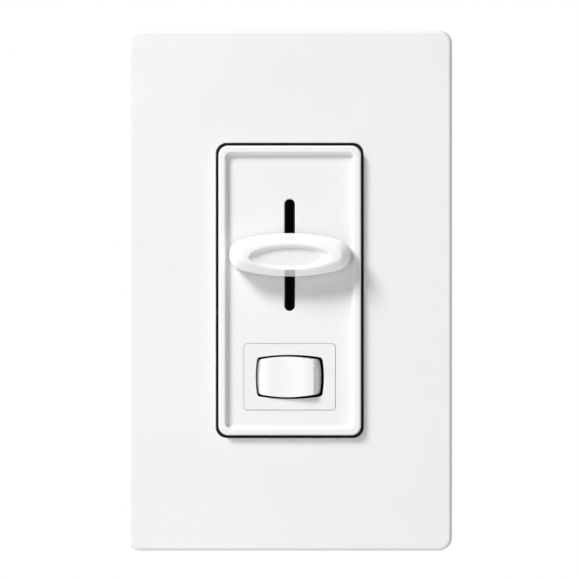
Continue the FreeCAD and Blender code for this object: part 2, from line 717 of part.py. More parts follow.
def bowed_rectangle(sketch, half_width, half_height, corner="dims.rocker_corner"):
    """A round-cornered rectangle whose sides bow outwards as much as the rocker's do."""
    side_across = f"({half_width} - dims.rocker_bow_across)"
    side_up = f"({half_height} - dims.rocker_bow_up)"
    end_across, end_up = f"({side_across} - {corner})", f"({side_up} - {corner})"
    level = (f"({end_across} ^ 2 + dims.rocker_bow_up ^ 2) / (2 * dims.rocker_bow_up)", 1)
    upright = (f"({end_up} ^ 2 + dims.rocker_bow_across ^ 2) / (2 * dims.rocker_bow_across)", 1)
    turn = (f"1.12 * {corner}", 1)
    outline(sketch, [(f"-{end_across}", f"-{side_up}"), (end_across, f"-{side_up}"),
                     (side_across, f"-{end_up}"), (side_across, end_up),
                     (end_across, side_up), (f"-{end_across}", side_up),
                     (f"-{side_across}", end_up), (f"-{side_across}", f"-{end_up}")],
            {0: level, 1: turn, 2: upright, 3: turn, 4: level, 5: turn, 6: upright, 7: turn})


def build_switch_housing():
    body = new_body("switch_housing", "0", "0", "dims.switch_up")
    sketch = front_sketch(body, "box", "dims.board_front")
    rounded_rectangle(sketch, "dims.switch_width", "dims.switch_height", "1.0")
    pad(body, "box_pad", sketch, "dims.switch_step - dims.board_front")
    sketch = front_sketch(body, "insert", "dims.switch_step - 0.5")
    rounded_rectangle(sketch, "dims.insert_width", "dims.insert_height", "dims.insert_corner")
    insert_front = "dims.panel_front - dims.switch_face_thick"
    pad(body, "insert_pad", sketch, f"{insert_front} - dims.switch_step + 0.5")
    sketch = front_sketch(body, "cavity", "dims.board_front")
    rounded_rectangle(sketch, "dims.cavity_width", "dims.cavity_height", "0.8")
    pocket(body, "cavity_cut", sketch, "dims.switch_ceiling - dims.board_front", along_normal=True)
    sketch = front_sketch(body, "window", insert_front)
    rounded_rectangle(sketch, "2 * (dims.rocker_half_width + dims.rocker_gap_across) + 0.8",
                      "2 * (dims.rocker_half_height + dims.rocker_gap_up) + 0.6", "0.8")
    pocket(body, "window_cut", sketch, f"{insert_front} - dims.switch_ceiling + 0.5")
    sketch = plan_sketch(body, "pivot", "dims.switch_height / 2")
    circle(sketch, "dims.pivot_hole_radius", "0", "-dims.pivot_forward")
    pocket(body, "pivot_cut", sketch, "dims.switch_height")


def build_switch_face():
    body = slab("switch_face", "dims.insert_width", "dims.insert_height",
                "dims.panel_front - dims.switch_face_thick", "dims.panel_front",
                up="dims.switch_up", radius="dims.insert_corner")
    half_width = "(dims.rocker_half_width + dims.rocker_gap_across)"
    half_height = "(dims.rocker_half_height + dims.rocker_gap_up)"
    sketch = front_sketch(body, "opening", "dims.switch_face_thick")
    bowed_rectangle(sketch, half_width, half_height, "(dims.rocker_corner + 0.1)")
    pocket(body, "opening_cut", sketch, "dims.switch_face_thick")
    outer_edge = not_inside(within(half_width, half_height))
    soften(body, "outer_round", both(at_forward("dims.switch_face_thick"), outer_edge), "0.15")


def build_switch_base():
    body = slab("switch_base", "dims.cavity_width - 0.1", "dims.cavity_height - 0.1",
                "dims.board_front", "dims.board_front + 1.5", up="dims.switch_up", radius="0.7")
    sketch = front_sketch(body, "stop", "1.4")
    rectangle(sketch, "1.4", "3.6", "-6.1", "0")
    pad(body, "stop_pad", sketch, "3.53")
    sketch = front_sketch(body, "slots", "1.5")
    rectangle(sketch, "1.1", "4.3", "0", "0")
    rectangle(sketch, "1.1", "3.3", "6.2", "0")
    pocket(body, "slots_cut", sketch, "1.5")


def build_rocker():
    body = new_body("rocker", "0", "dims.pivot_forward", "dims.switch_up")
    half_width, half_height = "dims.rocker_half_width", "dims.rocker_half_height"
    sketch = front_sketch(body, "outline", "-1.8")
    bowed_rectangle(sketch, "dims.rocker_foot_width", half_height)
    pad(body, "block", sketch, "dims.rocker_foot + 1.8")
    foot = front_sketch(body, "foot", "dims.rocker_foot")
    bowed_rectangle(foot, "dims.rocker_foot_width", half_height)
    top = front_sketch(body, "top", "dims.rocker_top")
    bowed_rectangle(top, "dims.rocker_top_width", half_height)
    ruled_loft(body, "slanted_ends", foot, top)

    sketch = plan_sketch(body, "face", "-6")
    chord, dip = "dims.crest_across", "dims.rocker_dip"
    round_start = f"({half_width} + 0.02 - dims.end_round * (1 - sin(dims.end_slope)))"
    slope_end = f"(dims.crest_forward - ({round_start} - {chord}) * tan(dims.end_slope))"
    round_end = f"({slope_end} - dims.end_round * cos(dims.end_slope))"
    right_side = [(chord, "-dims.crest_forward"), (round_start, f"-{slope_end}"),
                  (f"{half_width} + 0.02", f"-{round_end}"), ("9", f"-{round_end}"), ("9", "-12")]
    left_side = [(f"-({across})", back) for across, back in reversed(right_side)]
    outline(sketch, right_side + left_side,
            {1: ("dims.end_round", -1), 7: ("dims.end_round", -1),
             9: (f"({chord} ^ 2 + {dip} ^ 2) / (2 * {dip})", -1)})
    pocket(body, "face_cut", sketch, "12", along_normal=True)
    on_crest = both(at_forward("dims.crest_forward"), within("dims.crest_across", "6"))
    soften(body, "crest_round", both(on_crest, lambda point: abs(point.x) > 1), "dims.crest_round")

    sketch = plan_sketch(body, "underside", "-6")
    outline(sketch, [("-9", "-1"), ("-4", "-1"), ("-4", "1.8"), ("4", "1.8"), ("4", "-1"),
                     ("9", "-1"), ("9", "9"), ("-9", "9")])
    pocket(body, "underside_cut", sketch, "12", along_normal=True)
    sketch = front_sketch(body, "lightening", "0.9")
    for side in (-1, 1):
        rectangle(sketch, "2.2", "6.4", f"{side} * 4.7", "0")
    pocket(body, "lightening_cut", sketch, "3.6", along_normal=True)
    sketch = front_sketch(body, "boss", "-3.2")
    circle(sketch, "2.6")
    pad(body, "boss_pad", sketch, "3.4")
    sketch = front_sketch(body, "plunger_bore", "-3.2")
    circle(sketch, "dims.plunger_radius + 0.06")
    pocket(body, "plunger_bore_cut", sketch, "6.9", along_normal=True)
    for name, start in (("low", "0.8 - dims.switch_height / 2"), ("high", "4")):
        sketch = plan_sketch(body, f"pivot_{name}", start)
        circle(sketch, "dims.pivot_radius")
        pad(body, f"pivot_{name}_pad", sketch, "dims.switch_height / 2 - 4.8")
    body.setExpression("Placement.Rotation.Angle", "-dims.rocker_tilt")


def build_plunger():
    body = turned("plunger", [("-dims.plunger_reach", "0"), ("1 - dims.plunger_reach", "1.0"),
                              ("-3.9", "dims.plunger_radius"), ("-0.6", "dims.plunger_radius"),
                              ("-0.6", "0")],
                  up="dims.switch_up", forward="dims.pivot_forward", arcs={0: ("1.0", 1)})
    body.setExpression("Placement.Rotation.Angle", "-dims.rocker_tilt")

    spring = new_body("plunger_spring", "0", "dims.pivot_forward", "dims.switch_up")
    sketch = plan_sketch(spring, "wire")
    circle(sketch, "0.15", "1.1", "-3.45")
    coil = spring.newObject("PartDesign::AdditiveHelix", "plunger_spring_coil")
    coil.Profile = sketch
    coil.ReferenceAxis = (sketch, ["V_Axis"])
    coil.Mode = "pitch-height-angle"
    coil.setExpression("Pitch", "dims.spring_pitch")
    coil.setExpression("Height", "dims.spring_length")
    sketch.Visibility = False
    spring.setExpression("Placement.Rotation.Angle", "-dims.rocker_tilt")


def build_contacts():
    slope, arm = "dims.contact_slope", "dims.contact_arm"
    moving = new_body("moving_contact", "0", "dims.contact_axis", "dims.switch_up")
    sketch = plan_sketch(moving, "strip", "-2")
    tip_across, tip_back = f"{arm} * cos({slope})", f"-{arm} * sin({slope})"
    front_across = f"{tip_across} - 0.5 * sin({slope})"
    front_back = f"{tip_back} - 0.5 * cos({slope})"
    outline(sketch, [("0", "0"), (f"-({front_across}) - 0.5 * sin({slope})", tip_back),
                     (f"-({front_across})", front_back), ("0", f"-0.5 / cos({slope})"),
                     (front_across, front_back), (tip_across, tip_back)])
    pad(moving, "strip_pad", sketch, "4")
    sketch = plan_sketch(moving, "button", "-1")

    def along_arm(distance, depth):
        """A point on the right arm, a depth behind its rear face."""
        return (f"{distance} * cos({slope}) + {depth} * sin({slope})",
                f"-{distance} * sin({slope}) + {depth} * cos({slope})")

    outline(sketch, [along_arm("5.2", "-0.1"), along_arm("6.3", "-0.1"), along_arm("6.3", "0.3"),
                     along_arm("6.1", "0.4"), along_arm("5.4", "0.4"), along_arm("5.2", "0.3")])
    pad(moving, "button_pad", sketch, "2")
    moving.setExpression("Placement.Rotation.Angle", "dims.contact_tilt")

    common = new_body("common_terminal", "0", "0", "dims.switch_up")
    sketch = plan_sketch(common, "blade", "-2.1")
    outline(sketch, [("-0.5", "-dims.board_front"), ("-0.5", "5.4"), ("-0.12", "4.88"),
                     ("0.12", "4.88"), ("0.5", "5.4"), ("0.5", "-dims.board_front")])
    pad(common, "blade_pad", sketch, "4.2")
    sketch = front_sketch(common, "pin", "dims.board_back - 1.4")
    rectangle(sketch, "0.9", "0.9")
    pad(common, "pin_pad", sketch, "dims.board_front - dims.board_back + 1.4")

    load = new_body("load_terminal", "0", "0", "dims.switch_up")
    sketch = front_sketch(load, "pin", "dims.board_back - 1.4")
    rectangle(sketch, "0.9", "0.9", "6.2", "0")
    pad(load, "pin_pad", sketch, "dims.board_front - dims.board_back + 1.4")
    sketch = front_sketch(load, "blade", "dims.board_front")
    rectangle(sketch, "1.0", "3.2", "6.2", "0")
    pad(load, "blade_pad", sketch, "-4.93 - dims.board_front")
    sketch = front_sketch(load, "button", "-4.93")
    circle(sketch, "1.0", "5.9", "0")
    pad(load, "button_pad", sketch, "0.46")


# ---------------------------------------------------------------- back cover

def build_back_cover():
    body = new_body("back_cover")
    sketch = front_sketch(body, "outline", "-dims.cover_depth")
    rounded_rectangle(sketch, "dims.cover_width", "dims.cover_height", "dims.cover_corner")
    pad(body, "block", sketch, "dims.cover_depth")
    sketch = front_sketch(body, "hollow")
    rounded_rectangle(sketch, "dims.cover_width - 2 * dims.cover_wall",
                      "dims.cover_height - 2 * dims.cover_wall", "dims.cover_corner - 1")
    pocket(body, "hollow_cut", sketch, "dims.cover_depth - dims.cover_wall")
    for side in (-1, 1):
        for end in (-1, 1):
            name = f"boss_{'r' if side > 0 else 'l'}{'t' if end > 0 else 'b'}"
            sketch = front_sketch(body, name, "-dims.cover_depth + 1")
            circle(sketch, "2.25", f"{side} * dims.rivet_across", f"{end} * dims.rivet_up")
            pad(body, f"{name}_pad", sketch, "dims.cover_depth - 1")
    sketch = front_sketch(body, "ribs", "-dims.cover_depth + 1")
    for side in (-1, 1):
        rectangle(sketch, "1.8", "2.4", f"{side} * 18.8", "17")
        rectangle(sketch, "1.8", "2.4", f"{side} * 18.8", "-15")
        rectangle(sketch, "2.4", "1.8", "0", f"{side} * 30.8")
    pad(body, "ribs_pad", sketch, "dims.cover_depth - 1 + dims.board_back")
    sketch = front_sketch(body, "rivet_holes")
    for side in (-1, 1):
        for end in (-1, 1):
            circle(sketch, "1.3", f"{side} * dims.rivet_across", f"{end} * dims.rivet_up")
    pocket(body, "rivet_holes_cut", sketch, "8")
    sketch = front_sketch(body, "leads", "-dims.cover_depth + 3")
    for number in (-1, 0, 1):
        circle(sketch, "dims.lead_hole_radius", f"{number} * dims.lead_pitch", "dims.lead_up")
    pocket(body, "leads_cut", sketch, "4")
    sketch = front_sketch(body, "label_seat", "-dims.cover_depth")
    rounded_rectangle(sketch, "26", "30", "1.0", "0", "4")
    pocket(body, "label_seat_cut", sketch, "0.25", along_normal=True)
    sketch = front_sketch(body, "grooves", "-dims.cover_depth")
    for side in (-1, 1):
        for up in (-8, 16):
            rounded_rectangle(sketch, "1.2", "14", "0.5", f"{side} * 17.2", f"{up}")
    pocket(body, "grooves_cut", sketch, "0.5", along_normal=True)
    outline_edge = within("dims.cover_width / 2 - 0.5", "dims.cover_height / 2 - 0.5")
    soften(body, "back_round", both(at_forward("-dims.cover_depth"), not_inside(outline_edge)), "1.2")
    slab("rating_label", "25.6", "29.6", "-dims.cover_depth", "-dims.cover_depth + 0.2",
         up="4", radius="0.9")


def build_cover_rivets():
    for side, side_name in ((-1, "left"), (1, "right")):
        for end, end_name in ((-1, "bottom"), (1, "top")):
            turned(f"cover_rivet_{end_name}_{side_name}",
                   [("dims.yoke_front + 0.7", "0"), ("dims.yoke_front + 0.7", "1.1"),
                    ("dims.yoke_front + 0.25", "1.95"), ("dims.yoke_front", "1.95"),
                    ("dims.yoke_front", "1.25"), ("-7.6", "1.25"), ("-7.6", "0")],
                   f"{side} * dims.rivet_across", f"{end} * dims.rivet_up")


# ---------------------------------------------------------------- circuit board and its parts

PIN_PAIRS = {
    "film_capacitor_large": (10.0, 22.0, 5.0),
    "film_capacitor_small": (9.5, 12.0, 3.75),
    "resistor_gate": (10.0, 3.0, 5.0),
    "resistor_charge": (10.0, -3.4, 5.0),
    "diac": (-9.6, -4.0, 3.6),
}


def build_circuit_board():
    body = slab("circuit_board", "dims.board_width", "dims.board_height",
                "dims.board_back", "dims.board_front")
    thickness = "(dims.board_front - dims.board_back)"
    sketch = front_sketch(body, "notches", thickness)
    for side in (-1, 1):
        for end in (-1, 1):
            rectangle(sketch, "6.4", "7.8", f"{side} * dims.board_width / 2",
                      f"{end} * dims.board_height / 2")
    pocket(body, "notches_cut", sketch, thickness)
    small, large = "dims.pin_hole_radius", "0.75"
    holes = [(small, "-2.2", "dims.slide_up - 14.5"), (small, "2.2", "dims.slide_up - 14.5"),
             (small, "0", "dims.slide_up + 14.5"),
             (large, "0", "dims.switch_up"), (large, "6.2", "dims.switch_up"),
             (small, "dims.choke_across", "dims.choke_up - 6.75"),
             (small, "dims.choke_across", "dims.choke_up + 6.75")]
    for across, up, half_pitch in PIN_PAIRS.values():
        holes += [(small, f"{across - half_pitch}", f"{up}"), (small, f"{across + half_pitch}", f"{up}")]
    for number in (-1, 0, 1):
        holes.append(("0.6", f"dims.triac_across + {number} * 2.54", "-8.6"))
    through_holes(body, "holes", holes, thickness, thickness)


def build_triac():
    across = "dims.triac_across"
    case = slab("triac_case", "dims.triac_width", "9.2", "-4.6", "-1.5", across, "-1.4")
    soften(case, "edge_chamfer", lambda point: abs(point.y) < 1e-4, "0.4", kind="Chamfer")
    tab = slab("triac_tab", "dims.triac_width", "15.6", "-1.5", "-0.25", across, "1.8")
    through_holes(tab, "hole", [("1.75", "0", "dims.triac_tab_hole_up - 1.8")], "1.25", "1.25")
    insulator = slab("triac_insulator", "12.6", "18.0", "-0.25", "0", across, "1.8", radius="0.8")
    through_holes(insulator, "hole", [("1.7", "0", "dims.triac_tab_hole_up - 1.8")], "0.25", "0.25")
    turned("triac_rivet", [("dims.yoke_front + 0.8", "0"), ("dims.yoke_front + 0.8", "1.6"),
                           ("dims.yoke_front", "2.6"), ("dims.yoke_front", "1.55"), ("-1.5", "1.55"),
                           ("-1.5", "2.5"), ("-2.2", "2.5"), ("-2.2", "0")],
           across, "dims.triac_tab_hole_up")
    for number, name in ((-1, "left"), (0, "middle"), (1, "right")):
        lead = new_body(f"triac_lead_{name}", f"{across} + {number} * 2.54")
        sketch = side_sketch(lead, "bend", "-0.4")
        outline(sketch, [("2.7", "-6.0"), ("2.7", "-8.85"), ("11.6", "-8.85"), ("11.6", "-8.35"),
                         ("3.2", "-8.35"), ("3.2", "-6.0")])
        pad(lead, "bend_pad", sketch, "0.8")


def build_choke():
    core = [("-12", "5.0"), ("-12", "8.5"), ("-19.5", "8.5"), ("-19.5", "5.0")]
    turned("choke_core", core, "dims.choke_across", "dims.choke_up")
    winding = new_body("choke_winding", "dims.choke_across", "0", "dims.choke_up")
    sketch = side_sketch(winding, "sleeve")
    outline(sketch, [("11.4", "4.4"), ("20.1", "4.4"), ("20.1", "9.1"), ("11.4", "9.1")])
    outline(sketch, [("12", "5.0"), ("12", "8.5"), ("19.5", "8.5"), ("19.5", "5.0")])
    revolve(winding, "turns", sketch, "H_Axis", angle="330")
    sketch = front_sketch(winding, "ends", "-11.5")
    for end in (-1, 1):
        circle(sketch, "dims.pin_radius", "0", f"{end} * 6.75")
    pad(winding, "ends_pad", sketch, "3.1")


def build_boxed_capacitor(label, width, height, depth):
    across, up, half_pitch = PIN_PAIRS[label]
    body = slab(label, width, height, f"-11 - {depth}", "-11", f"{across}", f"{up}", radius="0.6")
    soften(body, "edge_round", lambda point: abs(point.y) < 1e-4, "0.4")
    sketch = front_sketch(body, "pins", f"{depth} - 0.1")
    for side in (-1, 1):
        circle(sketch, "dims.pin_radius", f"{side} * {half_pitch}", "0")
    pad(body, "pins_pad", sketch, "2.7")


def build_axial(label, radius, length):
    """A small part lying along the board, its two leads bent through it."""
    across, up, half_pitch = PIN_PAIRS[label]
    body = new_body(label, f"{across}", "-12.3", f"{up}")
    sketch = front_sketch(body, "half_section")
    half, wire = f"({length}) / 2", f"{half_pitch} + 0.3"
    right_half = [(f"{wire}", "0"), (f"{wire}", "0.3"), (half, "0.3"), (half, radius),
                  (f"{half} - 1.2", radius), (f"{half} - 1.6", f"0.86 * {radius}")]
    left_half = [(f"-({across})", up) for across, up in reversed(right_half)]
    outline(sketch, right_half + left_half)
    revolve(body, "turning", sketch, "H_Axis")
    sketch = front_sketch(body, "legs", "0")
    for side in (-1, 1):
        rectangle(sketch, "0.44", "0.44", f"{side} * {half_pitch}", "0")
    pad(body, "legs_pad", sketch, "3.9")


def build_insulating_sheet():
    slab("insulating_sheet", "11", "26", "-0.35", "0", "-12.6", "7", radius="1.5")


# ---------------------------------------------------------------- build, check and write

build_wall_plate()
build_plate_adapter()
build_yoke()
build_ground_screw()
for place, side in (("top", 1), ("bottom", -1)):
    build_flat_screw(place, side)
    build_box_screw(place, side)
build_front_bezel()
build_bezel_collar()
build_slot_shield()
build_slide_knob()
build_slider_lever()
build_potentiometer()
build_switch_housing()
build_switch_face()
build_switch_base()
build_rocker()
build_plunger()
build_contacts()
build_back_cover()
build_cover_rivets()
build_circuit_board()
build_triac()
build_choke()
build_boxed_capacitor("film_capacitor_large", "13", "6.4", "11")
build_boxed_capacitor("film_capacitor_small", "10.4", "5.0", "9")
build_axial("resistor_gate", "1.3", "6.6")
build_axial("resistor_charge", "1.3", "6.6")
build_axial("diac", "0.95", "4.2")
build_insulating_sheet()

doc.recompute()
for item in doc.Objects:
    if "Invalid" in item.State or "Error" in item.State:
        raise ValueError(f"{item.Name} did not compute: {item.State}")
os.makedirs("parts", exist_ok=True)
for part in parts:
    if part.Shape.isNull() or not part.Shape.isValid() or len(part.Shape.Solids) != 1:
        raise ValueError(f"{part.Label} is not one sound solid")
    part.Shape.exportStep(f"parts/{part.Label}.step")
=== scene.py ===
import json
import math

import bmesh
import bpy
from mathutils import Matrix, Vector


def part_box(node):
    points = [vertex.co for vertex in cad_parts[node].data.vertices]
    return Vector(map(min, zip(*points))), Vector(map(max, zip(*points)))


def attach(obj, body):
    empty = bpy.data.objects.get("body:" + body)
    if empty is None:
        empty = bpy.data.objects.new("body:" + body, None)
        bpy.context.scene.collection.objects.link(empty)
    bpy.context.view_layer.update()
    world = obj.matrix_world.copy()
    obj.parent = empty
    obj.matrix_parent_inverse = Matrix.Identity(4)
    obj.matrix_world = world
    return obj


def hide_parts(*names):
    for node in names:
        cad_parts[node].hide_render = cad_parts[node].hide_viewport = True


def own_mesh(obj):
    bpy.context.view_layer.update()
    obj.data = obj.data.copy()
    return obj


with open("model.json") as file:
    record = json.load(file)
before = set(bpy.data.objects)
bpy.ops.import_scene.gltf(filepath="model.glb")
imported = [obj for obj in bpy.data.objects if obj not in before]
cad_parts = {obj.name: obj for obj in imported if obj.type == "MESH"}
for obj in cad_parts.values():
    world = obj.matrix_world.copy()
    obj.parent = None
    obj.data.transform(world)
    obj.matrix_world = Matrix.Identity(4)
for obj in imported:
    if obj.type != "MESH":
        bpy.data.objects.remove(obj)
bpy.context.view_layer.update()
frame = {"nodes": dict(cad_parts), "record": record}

NODES = frame["nodes"]
MM = 0.001
KNOB_LOW, KNOB_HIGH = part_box("slide_knob")
KNOB_FRONT = KNOB_LOW[1]
KNOB_MIDDLE = (KNOB_LOW[2] + KNOB_HIGH[2]) / 2
DISH_BELOW = 0.5 * MM              # the dish sits this much under the knob's middle
DISH_REACH = (9.4 * MM, 2.9 * MM)  # half its width and half its height, with a little to spare

# ------------------------------------------------------------------ material helpers


def new_material(name):
    """An empty node material with a Principled shader and its output."""
    material = bpy.data.materials.new(name)
    material.use_nodes = True
    tree = material.node_tree
    tree.nodes.clear()
    output = tree.nodes.new("ShaderNodeOutputMaterial")
    shader = tree.nodes.new("ShaderNodeBsdfPrincipled")
    tree.links.new(shader.outputs["BSDF"], output.inputs["Surface"])
    return material, tree, shader


def coordinates(tree, scale=(1, 1, 1)):
    """Object coordinates, stretched."""
    source = tree.nodes.new("ShaderNodeTexCoord")
    mapping = tree.nodes.new("ShaderNodeMapping")
    mapping.inputs["Scale"].default_value = scale
    tree.links.new(source.outputs["Object"], mapping.inputs["Vector"])
    return mapping.outputs["Vector"]


def noise(tree, vector, scale, detail=3.0, roughness=0.5):
    """Noise whose scale is in features per metre."""
    node = tree.nodes.new("ShaderNodeTexNoise")
    node.inputs["Scale"].default_value = scale
    node.inputs["Detail"].default_value = detail
    node.inputs["Roughness"].default_value = roughness
    tree.links.new(vector, node.inputs["Vector"])
    return node.outputs["Fac"]


def ramp(tree, factor, low, high, start=0.3, end=0.7):
    """A colour ramp between two colours."""
    node = tree.nodes.new("ShaderNodeValToRGB")
    node.color_ramp.elements[0].position = start
    node.color_ramp.elements[1].position = end
    node.color_ramp.elements[0].color = (*low, 1)
    node.color_ramp.elements[1].color = (*high, 1)
    tree.links.new(factor, node.inputs["Fac"])
    return node.outputs["Color"]


def map_range(tree, value, low, high, start, end):
    """A value mapped from low..high to start..end, clamped."""
    node = tree.nodes.new("ShaderNodeMapRange")
    for name, number in (("From Min", low), ("From Max", high), ("To Min", start), ("To Max", end)):
        node.inputs[name].default_value = number
    tree.links.new(value, node.inputs["Value"])
    return node.outputs["Result"]


def spread(tree, factor, low, high):
    """A factor of 0 to 1 mapped to a number range."""
    return map_range(tree, factor, 0, 1, low, high)


def bump(tree, shader, height, strength, distance):
    """A bump on the shader's normal; distance is in metres."""
    node = tree.nodes.new("ShaderNodeBump")
    node.inputs["Strength"].default_value = strength
    node.inputs["Distance"].default_value = distance
    tree.links.new(height, node.inputs["Height"])
    tree.links.new(node.outputs["Normal"], shader.inputs["Normal"])


def combine(tree, operation, first, second):
    """Two factors combined by a math operation."""
    node = tree.nodes.new("ShaderNodeMath")
    node.operation = operation
    tree.links.new(first, node.inputs[0])
    tree.links.new(second, node.inputs[1])
    return node.outputs["Value"]


def invert(tree, factor):
    """One minus a factor."""
    node = tree.nodes.new("ShaderNodeMath")
    node.operation = "SUBTRACT"
    node.inputs[0].default_value = 1
    tree.links.new(factor, node.inputs[1])
    return node.outputs["Value"]


def tinted(color, amount):
    """A slightly darker or lighter version of a colour."""
    return tuple(max(0.0, min(1.0, channel * amount)) for channel in color)


def moulded_plastic(name, color, roughness=0.35, grain=2500, grain_depth=0.00001, subsurface=0.0,
                    variation=0.02, coat=0.0):
    """Moulded plastic: faint flow marks in the colour, and a fine sparked texture."""
    material, tree, shader = new_material(name)
    vector = coordinates(tree)
    flow = noise(tree, vector, 28, 4)
    tree.links.new(ramp(tree, flow, tinted(color, 1 - variation), tinted(color, 1 + variation * 0.4)),
                   shader.inputs["Base Color"])
    fine = noise(tree, vector, grain, 2, 0.6)
    tree.links.new(spread(tree, fine, roughness * 0.82, roughness * 1.18), shader.inputs["Roughness"])
    bump(tree, shader, fine, 0.5, grain_depth)
    shader.inputs["IOR"].default_value = 1.49
    if subsurface:
        shader.inputs["Subsurface Weight"].default_value = subsurface
        shader.inputs["Subsurface Radius"].default_value = (1.0, 0.95, 0.9)
        shader.inputs["Subsurface Scale"].default_value = 0.8 * MM
    if coat:
        shader.inputs["Coat Weight"].default_value = coat
        shader.inputs["Coat Roughness"].default_value = 0.12
    return material


def brushed_metal(name, color, roughness=0.34, along="z", grain=900, depth=0.000006, tarnish=0.08):
    """Rolled or plated metal with a fine directional grain and faint clouding."""
    material, tree, shader = new_material(name)
    stretch = {"x": (0.04, 1, 1), "y": (1, 0.04, 1), "z": (1, 1, 0.04), "none": (1, 1, 1)}[along]
    streaks = noise(tree, coordinates(tree, stretch), grain, 4, 0.6)
    clouds = noise(tree, coordinates(tree), 60, 4)
    tree.links.new(ramp(tree, clouds, tinted(color, 1 - tarnish), color, 0.25, 0.75),
                   shader.inputs["Base Color"])
    tree.links.new(spread(tree, streaks, roughness * 0.7, roughness * 1.35), shader.inputs["Roughness"])
    bump(tree, shader, streaks, 0.6, depth)
    shader.inputs["Metallic"].default_value = 1.0
    return material


def fibrous(name, color, roughness=0.75, grain=1400):
    """Paper or vulcanised fibre."""
    material, tree, shader = new_material(name)
    vector = coordinates(tree, (1, 1, 0.35))
    fibres = noise(tree, vector, grain, 5, 0.65)
    tree.links.new(ramp(tree, fibres, tinted(color, 0.86), tinted(color, 1.06)), shader.inputs["Base Color"])
    tree.links.new(spread(tree, fibres, roughness * 0.85, min(1, roughness * 1.15)),
                   shader.inputs["Roughness"])
    bump(tree, shader, fibres, 0.5, 0.00002)
    return material


def translucent_plastic(name, color, front, skirt, middle, dish_reach):
    """Milky plastic, whose sloped rim, from front back to skirt, lets a little of the slot show through.

    The patch is as wide as the slot looks from in front, clearer below the dish than above it. Faces seen
    from inside are clear, so that what shows is behind the knob, and shadow rays find it solid.
    """
    slot_half, edge = 1.12 * MM, 0.12 * MM
    clear_below, clear_above = 0.42, 0.12
    material = moulded_plastic(name, color, 0.24, 2600, 0.000004, 0.8)
    tree = material.node_tree
    shader = next(node for node in tree.nodes if node.type == "BSDF_PRINCIPLED")
    shader.inputs["Subsurface Scale"].default_value = 1.6 * MM
    place = tree.nodes.new("ShaderNodeTexCoord")
    split = tree.nodes.new("ShaderNodeSeparateXYZ")
    tree.links.new(place.outputs["Object"], split.inputs["Vector"])
    sideways = tree.nodes.new("ShaderNodeMath")
    sideways.operation = "ABSOLUTE"
    tree.links.new(split.outputs["X"], sideways.inputs[0])
    column = map_range(tree, sideways.outputs["Value"], slot_half, slot_half + edge, 1, 0)
    slope = combine(tree, "MULTIPLY", map_range(tree, split.outputs["Y"], front, front + 0.2 * MM, 0, 1),
                    map_range(tree, split.outputs["Y"], skirt, skirt + 0.3 * MM, 1, 0))
    clearness = map_range(tree, split.outputs["Z"], middle - MM, middle + MM, clear_below, clear_above)
    from_dish = tree.nodes.new("ShaderNodeMapping")
    from_dish.inputs["Scale"].default_value = (1 / dish_reach[0], 0, 1 / dish_reach[1])
    from_dish.inputs["Location"].default_value = (0, 0, -middle / dish_reach[1])
    tree.links.new(place.outputs["Object"], from_dish.inputs["Vector"])
    distance = tree.nodes.new("ShaderNodeVectorMath")
    distance.operation = "LENGTH"
    tree.links.new(from_dish.outputs["Vector"], distance.inputs[0])
    outside = map_range(tree, distance.outputs["Value"], 1.0, 1.02, 0, 1)
    thin = combine(tree, "MULTIPLY", combine(tree, "MULTIPLY", column, slope),
                   combine(tree, "MULTIPLY", clearness, outside))
    inside = tree.nodes.new("ShaderNodeNewGeometry")
    seen_through = combine(tree, "MAXIMUM", thin, inside.outputs["Backfacing"])
    rays = tree.nodes.new("ShaderNodeLightPath")
    shadowed = combine(tree, "MAXIMUM", invert(tree, seen_through), rays.outputs["Is Shadow Ray"])
    tree.links.new(shadowed, shader.inputs["Alpha"])
    return material


